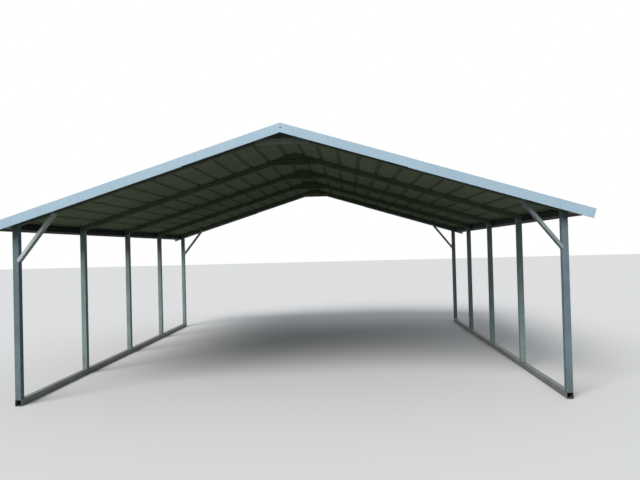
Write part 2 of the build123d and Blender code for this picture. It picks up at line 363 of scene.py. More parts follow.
# The trim's blue cast is painted sky light on a pale trim.
trim_paint = coated_finish("trim_paint", (0.482, 0.652, 0.785), (0.430, 0.592, 0.725),
                           0.40, 0.1, 0.4, 0.16, upright_runs, (0.27, 0.33, 0.36))
eave_paint = coated_finish("eave_paint", (0.26, 0.32, 0.36), (0.22, 0.27, 0.30),
                           0.5, 0.1, 0.3, 0.25, eave_runs, (0.15, 0.17, 0.17))
screw_zinc = coated_finish("screw_zinc", (0.45, 0.47, 0.48), (0.34, 0.36, 0.36),
                           0.36, 0.85, 0.5, 0.2, even_runs, (0.22, 0.16, 0.11))
washer_rubber = coated_finish("washer_rubber", (0.030, 0.030, 0.032), (0.018, 0.018, 0.018),
                              0.8, 0.0, 0.2, 0.2, even_runs, (0.05, 0.05, 0.048))
# The caps are pale plastic, made paler still to paint the light that falls on the tube ends.
cap_plastic = coated_finish("cap_plastic", (0.76, 0.80, 0.78), (0.66, 0.70, 0.68),
                            0.6, 0.0, 0.3, 0.15, even_runs, (0.40, 0.40, 0.37))
print("coated finishes:", [m.name for m in (
    sheet_top, sheet_under, trim_paint, eave_paint, screw_zinc, washer_rubber, cap_plastic)])

# %% [markdown]
# ## Turning shapes into pieces
# Each piece is a plain mesh at the origin. It rides on the one body of the carport, and
# stands for the CAD nodes whose place it takes.
# Smooth shading alone would make a folded strip look like a pillow, and flat shading
# would show every facet of a bend. So normals are weighted by the area of the faces:
# broad faces stay flat, and only the narrow strips in a bend look round.

# %% Shade a mesh
sharp_angle = math.radians(32)


def clean(mesh, weld=0.01 * MM):
    """Merge doubled corners, point the faces outwards, and mark the real edges sharp."""
    work = bmesh.new()
    work.from_mesh(mesh)
    bmesh.ops.remove_doubles(work, verts=work.verts, dist=weld)
    bmesh.ops.recalc_face_normals(work, faces=work.faces)
    work.to_mesh(mesh)
    work.free()
    mesh.shade_smooth()
    mesh.set_sharp_from_angle(angle=sharp_angle)
    return mesh


def even_shading(mesh):
    """Normals weighted by face area, over the faces that turn less than a sharp edge."""
    around = [[] for _ in mesh.vertices]
    for face in mesh.polygons:
        for corner in face.vertices:
            around[corner].append(face)
    nearly = math.cos(sharp_angle)
    normals = []
    for face in mesh.polygons:
        for corner in face.vertices:
            total = Vector((0, 0, 0))
            for other in around[corner]:
                if other.normal.dot(face.normal) > nearly:
                    total += other.normal * other.area
            normals.append(total.normalized())
    mesh.normals_split_custom_set(normals)


print("edges over", round(math.degrees(sharp_angle)), "degrees stay sharp")

# %% Keep a mesh as a piece of the carport
def into_scene(name, data):
    """New object in the scene, at the origin."""
    thing = bpy.data.objects.new(name, data)
    bpy.context.scene.collection.objects.link(thing)
    return thing


def keep_piece(name, mesh, replaced):
    """Shade the mesh, ride it on the carport and hide the CAD parts it stands for."""
    even_shading(mesh)
    piece = into_scene(name, mesh)
    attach(piece, "root")
    if replaced:
        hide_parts(*replaced)
    return piece


print("CAD nodes to stand for:", len(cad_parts))

# %% Join meshes, and copy them to other places
def joined(meshes):
    """One mesh from several, each with its own materials."""
    work = bmesh.new()
    finishes = []
    for mesh in meshes:
        places = []
        for finish in mesh.materials:
            if finish not in finishes:
                finishes.append(finish)
            places.append(finishes.index(finish))
        before = len(work.faces)
        work.from_mesh(mesh)
        work.faces.ensure_lookup_table()
        for face in work.faces[before:]:
            face.material_index = places[face.material_index] if places else 0
    whole = bpy.data.meshes.new("joined")
    work.to_mesh(whole)
    work.free()
    for finish in finishes:
        whole.materials.append(finish)
    return whole


def shifted(mesh, move=(0, 0, 0), mirror_x=False, turn_z=False):
    """Copy of a mesh, mirrored about the middle or turned half a turn, then moved."""
    copy = mesh.copy()
    if mirror_x:
        copy.transform(Matrix.Scale(-1, 4, (1, 0, 0)))
        copy.flip_normals()
    if turn_z:
        copy.transform(Matrix.Rotation(math.pi, 4, "Z"))
    copy.transform(Matrix.Translation(move))
    return copy


print("mesh helpers:", [f.__name__ for f in (clean, even_shading, joined, shifted)])

# %% Start a node tree and finish its branches
def start_tree(name, inputs):
    """Geometry Nodes tree with named inputs; gives the tree, its inputs and its end."""
    tree = bpy.data.node_groups.new(name, "GeometryNodeTree")
    tree.interface.new_socket("Geometry", in_out="INPUT", socket_type="NodeSocketGeometry")
    for label, kind, value in inputs:
        socket = tree.interface.new_socket(label, in_out="INPUT",
                                           socket_type="NodeSocket" + kind)
        if value is not None:
            socket.default_value = value
    tree.interface.new_socket("Geometry", in_out="OUTPUT", socket_type="NodeSocketGeometry")
    return tree, tree.nodes.new("NodeGroupInput").outputs, tree.nodes.new("NodeGroupOutput")


def coated(tree, geometry, finish):
    """Turn instances into real faces and give them a material."""
    real = add_node(tree, "GeometryNodeRealizeInstances", {"Geometry": geometry})
    return add_node(tree, "GeometryNodeSetMaterial", {
        "Geometry": real.outputs[0], "Material": finish}).outputs[0]


def together(tree, parts):
    """Several results of a tree as one, in this order."""
    node = tree.nodes.new("GeometryNodeJoinGeometry")
    for part in parts:
        tree.links.new(part, node.inputs[0])
    return node.outputs[0]


print("tree helpers:", [f.__name__ for f in (start_tree, coated, together)])

# %% Read the result of a tree as a mesh
def grown(tree, mesh, values, wall=0.0):
    """Run the tree on a mesh with these inputs, add a wall if asked, and read the mesh."""
    carrier = into_scene("carrier", mesh)
    modifier = carrier.modifiers.new("shape", "NODES")
    modifier.node_group = tree
    for item in tree.interface.items_tree:
        if item.in_out == "INPUT" and item.name in values:
            modifier[item.identifier] = values[item.name]
    if wall > 0:
        thicken = carrier.modifiers.new("wall", "SOLIDIFY")
        thicken.thickness = wall
        thicken.offset = -1
        thicken.use_even_offset = True
    depsgraph = bpy.context.evaluated_depsgraph_get()
    result = bpy.data.meshes.new_from_object(carrier.evaluated_get(depsgraph),
                                             depsgraph=depsgraph)
    bpy.data.objects.remove(carrier)
    return result


# %% [markdown]
# ## Square tube
# Rails, posts and bows are one kind of tube, cut to length or bent. Each could be a box
# with bevelled edges, but a bent bow couldn't. In Geometry Nodes a path becomes a curve,
# its corner is filleted like a bend made over a former, and a rounded square is swept
# along it. A Solidify modifier then gives the real wall, so the open ends show as
# hollow tube.

# %% The tree for square tube
tube_tree, tube_in, tube_end = start_tree("square_tube", [
    ("Tube Size", "Float", tube),
    ("Corner Radius", "Float", tube_corner),
    ("Corner Steps", "Int", 4),
    ("Bend Radius", "Float", bow_bend),
    ("Bend Steps", "Int", 16),
    ("Finish", "Material", None),
])
path = add_node(tube_tree, "GeometryNodeMeshToCurve", {"Mesh": tube_in["Geometry"]})
bend = add_node(tube_tree, "GeometryNodeFilletCurve", {
    "Curve": path.outputs["Curve"], "Radius": tube_in["Bend Radius"],
    "Count": tube_in["Bend Steps"], "Limit Radius": True}, mode="POLY")
upright = add_node(tube_tree, "GeometryNodeSetCurveNormal", {
    "Curve": bend.outputs["Curve"]}, mode="Z_UP")
square = add_node(tube_tree, "GeometryNodeCurvePrimitiveQuadrilateral", {
    "Width": tube_in["Tube Size"], "Height": tube_in["Tube Size"]})
section = add_node(tube_tree, "GeometryNodeFilletCurve", {
    "Curve": square.outputs["Curve"], "Radius": tube_in["Corner Radius"],
    "Count": tube_in["Corner Steps"]}, mode="POLY")
skin = add_node(tube_tree, "GeometryNodeCurveToMesh", {
    "Curve": upright.outputs["Curve"], "Profile Curve": section.outputs["Curve"]})
feed(tube_tree, tube_end, {
    "Geometry": coated(tube_tree, skin.outputs["Mesh"], tube_in["Finish"])})
print("square tube tree:", len(tube_tree.nodes), "nodes")


# %% A length of tube
def tube_along(points, finish, size=tube, corner=tube_corner, wall=tube_wall):
    """Hollow square tube along a path of points, bent where the path turns."""
    line = bpy.data.meshes.new("path")
    line.from_pydata([Vector(p) for p in points], [(n, n + 1) for n in range(len(points) - 1)],
                     [])
    return clean(grown(tube_tree, line, {
        "Tube Size": size, "Corner Radius": corner, "Finish": finish}, wall))


trial = tube_along([(0, 0, 0), (0, 0, 1)], post_zinc)
print("a metre of tube:", len(trial.polygons), "faces, reaching",
      [round(max(v.co[a] for v in trial.vertices) / MM, 1) for a in range(3)], "mm")

# %% [markdown]
# ## Rails and posts
# The rails lie on the ground and the posts stand on them, slipped over short sleeves.
# The sleeves are hidden, so their CAD node stays and only gets the zinc finish. A post's
# top is sawn to the slope of the rafter. A Boolean could cut it, but here it is enough
# to move the end ring up or down to that line.

# %% Rails, sleeves and posts
for coat_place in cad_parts["rail_sleeves"].material_slots:
    coat_place.material = rail_zinc
highest = under_rafter(post_inner_x)
for side_name, side in sides:
    x = side * post_x
    rail = tube_along([(x, -half_length, tube / 2), (x, half_length, tube / 2)], rail_zinc)
    keep_piece(f"ground_rail_{side_name}", rail, [f"base_rail_{side_name}"])
    for number, y in enumerate(bow_places, start=1):
        post = tube_along([(x, y, tube), (x, y, highest)],
                          front_zinc if number == 1 else post_zinc)
        for corner in post.vertices:
            if corner.co.z > highest - MM:
                corner.co.z = under_rafter(abs(corner.co.x))
        keep_piece(f"square_post_{side_name}_{number}", post,
                   [f"post_{side_name}_{number}"])
print("posts from", round(tube, 4), "m, tops at", round(highest, 4), "m on the inner face")

# %% [markdown]
# ## Folded shapes in mesh code
# Braces and trim are flat strip folded on a brake. A modifier could bevel the folds of
# a simple mesh, but the inner and outer radius of a real fold differ by the gauge. One
# helper takes the middle line of the folded section, rounds its corners like real bends,
# and offsets it to both sides. Another one joins a row of such sections to a closed
# solid. A section may change from one station to the next, which clips a corner or bows
# a face a little.


# %% Rounded outline of a folded strip
def folded_outline(corners, thickness, radius, steps=3):
    """Closed outline, as 2-D points, of a strip that follows the corners."""
    corners = [Vector(c) for c in corners]
    line = [corners[0]]
    for before, here, after in zip(corners, corners[1:], corners[2:]):
        inward, outward = (before - here).normalized(), (after - here).normalized()
        half = inward.angle(outward) / 2
        reach = radius / math.tan(half)
        centre = here + (inward + outward).normalized() * (radius / math.sin(half))
        first, last = here + inward * reach - centre, here + outward * reach - centre
        turn = first.angle_signed(last)
        for n in range(steps + 1):
            line.append(centre + Matrix.Rotation(-turn * n / steps, 2) @ first)
    line.append(corners[-1])
    left, right = [], []
    for n, point in enumerate(line):
        before = (point - line[n - 1]).normalized() if n else None
        after = (line[n + 1] - point).normalized() if n + 1 < len(line) else None
        run = ((before or after) + (after or before)).normalized()
        reach = thickness / 2 / max(0.5, run.dot(before or after))
        side = Vector((-run.y, run.x)) * reach
        left.append(point + side)
        right.append(point - side)
    return left + right[::-1]


right_angle = folded_outline([(0, 0), (0, 20 * MM), (20 * MM, 20 * MM)], MM, 2 * MM)
print("a strip with one fold has an outline of", len(right_angle), "points")

# %% A closed solid from a row of outlines
def solid_from_rings(name, rings, finish):
    """Closed mesh from rings of 3-D points that all have the same number of points."""
    count = len(rings[0])
    points = [p for ring in rings for p in ring]
    faces = []
    for n in range(len(rings) - 1):
        for k in range(count):
            a, b = n * count + k, n * count + (k + 1) % count
            faces.append((a, b, b + count, a + count))
    last = (len(rings) - 1) * count
    for k in range(count // 2 - 1):
        faces.append((k + 1, k, count - 1 - k, count - 2 - k))
        faces.append((last + k, last + k + 1, last + count - 2 - k, last + count - 1 - k))
    mesh = bpy.data.meshes.new(name)
    mesh.from_pydata(points, [], faces)
    mesh.materials.append(finish)
    return clean(mesh)


trial = solid_from_rings("trial", [[Vector((p.x, y, p.y)) for p in right_angle]
                                   for y in (0, 1)], trim_paint)
print("a metre of folded angle:", len(trial.polygons), "faces")

# %% [markdown]
# ## Braces
# A brace is a channel that clips round the tube. Under each peak it lies level and
# carries a short stud up to the bend; at four corners it runs from post to rafter.
# Its flange tips are clipped at the ends, as a shear leaves them, so four stations are
# enough: the two ends, and where each clipped corner stops.

# %% A channel with clipped flange tips
brace_gauge, brace_fold = 1.9 * MM, 3.2 * MM
channel_inside = tube + 0.2 * MM


def channel_run(start, along, down, across, length, flange, clip, finish):
    """Channel from a start point: its web lies on the down side, its flanges reach back."""
    start, along, down, across = Vector(start), Vector(along), Vector(down), Vector(across)
    half = channel_inside / 2 + brace_gauge / 2
    rings = []
    for distance, short in ((0, clip), (clip, 0), (length - clip, 0), (length, clip)):
        tip = -(flange - short)
        outline = folded_outline([(-half, tip), (-half, brace_gauge / 2),
                                  (half, brace_gauge / 2), (half, tip)],
                                 brace_gauge, brace_fold, 4)
        rings.append([start + along * distance + across * p.x + down * p.y for p in outline])
    return solid_from_rings("channel", rings, finish)


print("channel", round((channel_inside + 2 * brace_gauge) / MM, 1), "mm wide outside")

# %% Peak braces with their studs
collar_length, collar_flange, collar_clip = 530 * MM, 50 * MM, 9 * MM
stud_size, stud_corner, stud_wall = 38.1 * MM, 4 * MM, 2 * MM
collar_level = under_rafter(collar_length / 2)
bend_centre = ridge_middle - bow_bend / slope_x
stud_top = bend_centre + math.sqrt((bow_bend - tube / 2) ** 2 - (stud_size / 2) ** 2)
for number, y in enumerate(bow_places, start=1):
    # The end braces take the lit copy and the inner ones the shaded copy.
    finish = lit_end_peak_zinc if number in (1, 5) else shaded_peak_zinc
    collar = channel_run((-collar_length / 2, 0, collar_level), (1, 0, 0), (0, 0, -1),
                         (0, 1, 0), collar_length, collar_flange, collar_clip, finish)
    stud = tube_along([(0, 0, collar_level), (0, 0, stud_top)], finish,
                      stud_size, stud_corner, stud_wall)
    peak_brace = joined([collar, stud])
    keep_piece(f"peak_brace_{number}", shifted(peak_brace, (0, y, 0)),
               [f"collar_brace_{number}"])
print("peak braces level at", round(collar_level, 4), "m")

# %% Corner braces
knee_length, knee_flange, knee_clip = 613 * MM, 29.5 * MM, 8 * MM
knee_angle = math.radians(51.6)
knee_run, knee_climb = math.cos(knee_angle), math.sin(knee_angle)
knee_top_x = post_inner_x - knee_length * knee_run
knee_foot_z = under_rafter(knee_top_x) - knee_length * knee_climb
knee = channel_run((post_inner_x, 0, knee_foot_z), (-knee_run, 0, knee_climb),
                   (-knee_climb, 0, -knee_run), (0, 1, 0),
                   knee_length, knee_flange, knee_clip, brace_zinc)
for end_name, y in (("front", bow_places[0]), ("back", bow_places[-1])):
    for side_name, mirrored in (("right", False), ("left", True)):
        corner_brace = shifted(knee, (0, y, 0), mirrored)
        # The left braces take the paler copy, which is painted light.
        if mirrored:
            corner_brace.materials[0] = lit_brace_zinc
        keep_piece(f"corner_brace_{end_name}_{side_name}", corner_brace,
                   [f"knee_brace_{end_name}_{side_name}"])
print("corner braces from", round(knee_foot_z, 3), "m up to",
      round(under_rafter(knee_top_x), 3), "m")

# %% [markdown]
# ## Eave tubes and roof bows
# A tube runs along the outside of the post tops on each side, with a pale plastic cap
# pressed into each end. Each bow is one tube bent over the peak: the same tree makes it
# from three points, and the fillet gives the bend. Its ends are sawn plumb and butt the
# eave tubes, with a weld bead in both corners. A bead could be a smooth fillet, but a
# real one shows the ripples of its making, so its rings swell and shrink by turns.

# %% A weld bead
ripple, bead_reach, bead_rise, bead_sunk = 3.5 * MM, 2.8 * MM, 1.7 * MM, 0.4 * MM
bead_skirt, bead_root = 0.8 * MM, 3.0 * MM
crest, trough, end_swell, unevenness = 1.0, 0.72, 0.25, (0.86, 1.08)


def weld_bead(start, end, facing, seed):
    """Rippled half-round bead along a seam, with slightly uneven ripples."""
    start, end, facing = Vector(start), Vector(end), Vector(facing)
    along = (end - start).normalized()
    across = along.cross(facing)
    shake = random.Random(seed)
    count = round((end - start).length / ripple)
    rings = []
    for n in range(count + 1):
        swell = (crest if n % 2 else trough) * shake.uniform(*unevenness)
        if n in (0, count):
            swell = end_swell
        ring = []
        for turn in (math.pi * k / 6 for k in range(7)):
            ring.append(start + (end - start) * (n / count)
                        + across * (math.cos(turn) * bead_reach * swell)
                        + facing * (math.sin(turn) * bead_rise * swell - bead_sunk))
        ring += [ring[6] - facing * bead_skirt, ring[3] - facing * bead_root,
                 ring[0] - facing * bead_skirt]
        rings.append(ring)
    # The bead takes the bows' finish, which is painted shade.
    return solid_from_rings("weld", rings, shaded_bow_zinc)


print("weld beads", round(2 * bead_reach / MM, 1), "mm wide, a ripple every",
      round(ripple / MM, 1), "mm")

# %% Two eave tubes
eave_tube_z = eave_tube_top - tube / 2
# The eave tubes take a finish that is painted shade.
eave_pair = joined([tube_along([(side * eave_tube_x, -half_length, eave_tube_z),
                                (side * eave_tube_x, half_length, eave_tube_z)], shaded_eave_zinc)
                    for _, side in sides])
keep_piece("eave_tube_pair", eave_pair, ["eave_tubes"])
print("eave tubes:", len(eave_pair.polygons), "faces")

# %% A cap in each end of the eave tubes
cap_gap, cap_round = 0.4 * MM, 3 * MM
cap_half = tube / 2 - tube_wall - cap_gap
cap_outer_face, cap_inner_face = 0.5 * MM, 3 * MM
cap_ring = []
for n, (x_way, z_way) in enumerate(((1, 1), (-1, 1), (-1, -1), (1, -1))):
    for turn in (math.pi / 2 * (n + k / 4) for k in range(5)):
        cap_ring.append((x_way * (cap_half - cap_round) + cap_round * math.cos(turn),
                         z_way * (cap_half - cap_round) + cap_round * math.sin(turn)))
caps = []
for _, side in sides:
    for way in (-1, 1):
        rings = [[Vector((side * eave_tube_x + x, way * (half_length - depth), eave_tube_z + z))
                  for x, z in cap_ring] for depth in (cap_outer_face, cap_inner_face)]
        caps.append(solid_from_rings("cap", rings, cap_plastic))
keep_piece("eave_tube_caps", joined(caps), [])
print("caps:", len(caps), "of", round(2 * cap_half / MM, 1), "mm")

# %% Five bows
sawn_length = 20 * MM
bow_end_z = ridge_middle - half_width * math.tan(pitch)
# The bow takes a finish that is painted shade.
bow_tube = tube_along([(-half_width, 0, bow_end_z), (0, 0, ridge_middle),
                       (half_width, 0, bow_end_z)], shaded_bow_zinc)
for corner in bow_tube.vertices:
    short = half_width - abs(corner.co.x)
    if short < sawn_length:
        corner.co.x = math.copysign(half_width, corner.co.x)
        corner.co.z -= short * math.tan(pitch)
bow_parts = [bow_tube]
for _, side in sides:
    for face in (-1, 1):
        seam_x, seam_y = side * (half_width - MM), face * (tube / 2 - MM)
        bow_parts.append(weld_bead(
            (seam_x, seam_y, under_rafter(half_width) + tube_corner),
            (seam_x, seam_y, eave_tube_top - tube_corner),
            Vector((-side, face, 0)).normalized(), 11 + side + 2 * face))
bow = joined(bow_parts)
for number, y in enumerate(bow_places, start=1):
    keep_piece(f"bent_bow_{number}", shifted(bow, (0, y, 0)), [f"roof_bow_{number}"])
print("bow:", len(bow.polygons), "faces, top", round(max(v.co.z for v in bow.vertices), 4))

# %% [markdown]
# ## Ribbed sheets
# A roll former turns flat coil into ribs at a fixed pitch, with two low beads in each
# pan. That is a rule, so Geometry Nodes does it: the blank is a flat strip with columns
# only where the section bends, and Set Position lifts each column by its distance to
# the nearest rib. The first ribs stand half a pitch from the ridge, so the ridge sheet
# bends over the peak in the middle of a pan. The same tree lays the sheet on the slope,
# lifts the lower edge over the next sheet, lets the pans sag a little between the bows,
# and adds the thickness.

# %% Sizes of the sheets
bead_height, bead_base, bead_top = 2.4 * MM, 20 * MM, 9 * MM
sheet_gauge, lap_gap = 0.8 * MM, 0.15 * MM
lap_rise = sheet_gauge / slope_x + lap_gap
behind_trim = 6 * MM
sheet_half_length = roof_half_length - behind_trim
pan_sag = 1.6 * MM
never = 10.0  # metres down the slope, farther than any sheet reaches
print("sheets", round(2 * sheet_half_length, 3), "m long, slopes",
      round(slope_length, 3), "m")

# %% Start the roll-forming tree
form_tree, form_in, form_end = start_tree("roll_former", [
    ("Side", "Float", 1.0),
    ("Rib Pitch", "Float", rib_pitch),
    ("Rib Height", "Float", rib_height),
    ("Rib Base", "Float", rib_base),
    ("Rib Top", "Float", rib_top),
    ("Bead Height", "Float", bead_height),
    ("Bead Base", "Float", bead_base),
    ("Bead Top", "Float", bead_top),
    ("Rib End", "Float", never),
    ("Roof Pitch", "Float", pitch),
    ("Ridge Height", "Float", ridge_over),
    ("Lap Start", "Float", never),
    ("Lap Rise", "Float", lap_rise),
    ("Sag", "Float", pan_sag),
    ("Bow Spacing", "Float", bow_spacing),
    ("Seed", "Float", 4.0),
    ("Thickness", "Float", sheet_gauge / slope_x),
    ("Top Finish", "Material", None),
    ("Under Finish", "Material", None),
])


def form_math(operation, first, second=0.0):
    """Math node in the roll-forming tree."""
    return maths(form_tree, operation, first, second)


def form_ramp(distance, base, top, height):
    """Trapezoid: full height within half the top width, nothing beyond half the base."""
    slack = form_math("SUBTRACT", form_math("MULTIPLY", base, 0.5), distance)
    wide = form_math("MULTIPLY", form_math("SUBTRACT", base, top), 0.5)
    share = form_math("MAXIMUM", form_math("DIVIDE", slack, wide), 0.0)
    return form_math("MULTIPLY", form_math("MINIMUM", share, 1.0), height)


print("roll former:", len(form_in) - 1, "inputs")

# %% Lift of the ribs and the beads
place = form_tree.nodes.new("GeometryNodeInputPosition").outputs[0]
flat = separate(form_tree, place)
run_down = form_math("ABSOLUTE", flat["X"])
steps_down = form_math("ADD", form_math("DIVIDE", run_down, form_in["Rib Pitch"]), 0.5)
off_step = form_math("SUBTRACT", steps_down, form_math("ROUND", steps_down))
from_rib = form_math("MULTIPLY", form_math("ABSOLUTE", off_step), form_in["Rib Pitch"])
from_bead = form_math("ABSOLUTE", form_math(
    "SUBTRACT", from_rib, form_math("DIVIDE", form_in["Rib Pitch"], 3.0)))
rib_lift = form_math(
    "MULTIPLY",
    form_ramp(from_rib, form_in["Rib Base"], form_in["Rib Top"], form_in["Rib Height"]),
    form_math("LESS_THAN", run_down, form_in["Rib End"]))
bead_lift = form_ramp(from_bead, form_in["Bead Base"], form_in["Bead Top"],
                      form_in["Bead Height"])
lift = form_math("ADD", rib_lift, bead_lift)
print("nodes so far:", len(form_tree.nodes))

# %% Sag between the bows
cloud_place = add_node(form_tree, "ShaderNodeCombineXYZ", {
    "X": flat["X"], "Y": flat["Y"], "Z": form_in["Seed"]})
cloud = add_node(form_tree, "ShaderNodeTexNoise", {
    "Vector": cloud_place.outputs[0], "Scale": 2.6, "Detail": 1.0})
half_waves = form_math("DIVIDE", flat["Y"], form_in["Bow Spacing"])
wave = form_math("SINE", form_math("MULTIPLY", half_waves, math.pi))
sag = form_math("MULTIPLY", form_math("MULTIPLY", wave, wave), cloud.outputs["Fac"])
sag = form_math("MULTIPLY", sag, form_in["Sag"])
print("pans sag by up to", round(pan_sag / MM, 1), "mm between the bows")

# %% Place on the slope
cosine = form_math("COSINE", form_in["Roof Pitch"])
sine = form_math("SINE", form_in["Roof Pitch"])
out_x = form_math("ADD", form_math("MULTIPLY", run_down, cosine),
                  form_math("MULTIPLY", lift, sine))
sign = form_math("MULTIPLY", form_math("SIGN", flat["X"]), form_in["Side"])
lapped = form_math("GREATER_THAN", run_down, form_in["Lap Start"])
down_z = form_math("SUBTRACT", form_math("MULTIPLY", lift, cosine),
                   form_math("MULTIPLY", run_down, sine))
high_z = form_math("ADD", form_math("ADD", down_z, form_in["Ridge Height"]),
                   form_math("MULTIPLY", lapped, form_in["Lap Rise"]))
laid = add_node(form_tree, "ShaderNodeCombineXYZ", {
    "X": form_math("MULTIPLY", out_x, sign), "Y": flat["Y"],
    "Z": form_math("SUBTRACT", high_z, sag)})
lay = add_node(form_tree, "GeometryNodeSetPosition", {
    "Geometry": form_in["Geometry"], "Position": laid.outputs[0]})
print("nodes so far:", len(form_tree.nodes))

# %% Thickness, and a finish for each face
upward = add_node(form_tree, "ShaderNodeCombineXYZ", {"Z": form_in["Thickness"]})
raised = add_node(form_tree, "GeometryNodeExtrudeMesh", {
    "Mesh": lay.outputs[0], "Offset": upward.outputs[0], "Individual": False})
under_face = add_node(form_tree, "GeometryNodeFlipFaces", {"Mesh": lay.outputs[0]})
feed(form_tree, form_end, {"Geometry": together(form_tree, (
    coated(form_tree, raised.outputs["Mesh"], form_in["Top Finish"]),
    coated(form_tree, under_face.outputs["Mesh"], form_in["Under Finish"])))})
print("roll former:", len(form_tree.nodes), "nodes")

# %% A blank strip with columns at the bends
fold_softness, least_strip = 1.6 * MM, 0.5 * MM
sheet_rows = 33


def bend_columns(start, end, ribs_until):
    """Distances down the slope where the section bends, between two ends."""
    found = []
    for n in range(-1, round(end / rib_pitch) + 2):
        rib = (n + 0.5) * rib_pitch
        if rib < ribs_until:
            for half in (-rib_base / 2, -rib_top / 2, rib_top / 2, rib_base / 2):
                found += [rib + half - fold_softness, rib + half + fold_softness]
        for share in (1 / 3, 2 / 3):
            bead = rib + share * rib_pitch
            found += [bead + half
                      for half in (-bead_base / 2, -bead_top / 2, bead_top / 2, bead_base / 2)]
    inside = [c for c in found if start + least_strip < c < end - least_strip]
    return [start] + sorted(inside) + [end]


def blank(columns):
    """Flat strip in the XY plane with these columns."""
    ys = [sheet_half_length * (2 * n / (sheet_rows - 1) - 1) for n in range(sheet_rows)]
    points = [(x, y, 0) for y in ys for x in columns]
    wide = len(columns)
    faces = [(r * wide + c, r * wide + c + 1, (r + 1) * wide + c + 1, (r + 1) * wide + c)
             for r in range(sheet_rows - 1) for c in range(wide - 1)]
    mesh = bpy.data.meshes.new("blank")
    mesh.from_pydata(points, [], faces)
    return mesh


print("columns on one whole slope:", len(bend_columns(0.0, slope_length, never)))

# %% The ridge sheet and three sheets down each slope
ribs_per_sheet = 4
lap_edge = rib_base / 2 + rib_height / 8
first_rib = 1.5 * rib_pitch
sheet_weld = 0.05 * MM
finishes = {"Top Finish": sheet_top, "Under Finish": sheet_under}
half = bend_columns(0.0, first_rib + rib_base / 2, never)
ridge = grown(form_tree, blank([-c for c in reversed(half[1:])] + half),
              {**finishes, "Lap Start": first_rib - lap_edge})
keep_piece("ribbed_sheet_ridge", clean(ridge, sheet_weld), ["roof_sheet_ridge"])
for level, level_name in enumerate(("upper", "middle", "lower")):
    start = first_rib + level * ribs_per_sheet * rib_pitch
    if level_name == "lower":
        end, lap_start = slope_length, never
        ribs_end = start + (ribs_per_sheet - 0.5) * rib_pitch
    else:
        end = start + ribs_per_sheet * rib_pitch + rib_base / 2
        lap_start = end - rib_base / 2 - lap_edge
        ribs_end = never
    columns = bend_columns(start - rib_base / 2, end, ribs_end)
    for side_name, side in sides:
        sheet = grown(form_tree, blank(columns), {
            **finishes, "Side": float(side), "Lap Start": lap_start, "Rib End": ribs_end})
        keep_piece(f"ribbed_sheet_{side_name}_{level_name}", clean(sheet, sheet_weld),
                   [f"roof_sheet_{side_name}_{level_name}"])
print("ridge sheet:", len(ridge.polygons), "faces")

# %% [markdown]
# ## Gable trim
# A folded angle lies on the rib tops and hangs over the sheet ends, with a hem turned in
# below. Each slope has two lengths. The upper one laps outside the lower one, and its
# hem is notched there, because the lower length hangs a few millimetres deeper. A thin
# face like this is never quite flat. A noise on the normals would only paint that, and
# the edges would stay straight, so the stations themselves bow it in and out a little.

# %% Sizes of the gable trim
trim_gauge, trim_fold = 0.8 * MM, 1.1 * MM
rake_face, rake_flange, rake_hem, notched_hem = 90 * MM, 76 * MM, 13 * MM, 2.5 * MM
rake_lap, notch_run = 60 * MM, 2 * MM
near_joint, far_joint = 1036 * MM, 1290 * MM
seat_gap, trim_nest = 0.25 * MM, 0.9 * MM
trim_seat = rib_height + 2 * sheet_gauge / slope_x + seat_gap
rake_end = slope_length + 9 * MM
rivet_stand = 1.2 * MM
lower_deeper, upper_shorter = 2.5 * MM, 2.5 * MM
face_bow, bow_waves, face_depth = 0.9 * MM, (0.9, 0.47, 0.26), 3 * MM
trim_stations = 16


def bow_of_face(along, seed):
    """Small in-and-out bow of a thin face along its length, 0 to 1."""
    shake = random.Random(seed)
    total = 0.0
    for length in bow_waves:
        total += math.sin(2 * math.pi * (along / length + shake.random())) * length
    return 0.5 + total / (2 * sum(bow_waves))


print("bow of the face at each metre:", [round(bow_of_face(n, 5), 2) for n in range(4)])

# %% One length of gable trim
def gable_trim(start, end, upper, seed):
    """Length of trim on the right front slope; the upper one starts at the mitred peak."""
    nest = trim_nest if upper else 0.0
    top = trim_seat + trim_gauge / 2 + nest
    deeper = -upper_shorter if upper else lower_deeper
    low = trim_seat + trim_gauge - rake_face - nest + trim_gauge / 2 - deeper
    notch = end - rake_lap
    stations = [start + (end - start) * n / trim_stations for n in range(trim_stations + 1)]
    if upper:
        stations = [s for s in stations if s < notch - 2 * notch_run]
        stations += [notch - notch_run, notch, end]
    rings = []
    for along in stations:
        hem = notched_hem if upper and along > notch - MM else rake_hem
        outline = folded_outline([(hem, low), (trim_gauge / 2, low), (trim_gauge / 2, top),
                                  (rake_flange, top)], trim_gauge, trim_fold, 2)
        bow_in = face_bow * bow_of_face(along, seed)
        ring = []
        for point in outline:
            share = max(0.0, min(1.0, (top - point.y) / rake_face))
            y = -roof_half_length + trim_nest - nest + rivet_stand + point.x
            if point.x < face_depth:
                y += bow_in * math.sin(math.pi * share)
            x, z = on_slope(along, point.y)
            if upper and along == stations[0]:
                x, z = 0.0, on_slope(-point.y * math.tan(pitch), point.y)[1]
            ring.append(Vector((x, y, z)))
        rings.append(ring)
    return solid_from_rings("gable_trim", rings, trim_paint)


print("trim stands", round(trim_seat / MM, 1), "mm above the rafters")

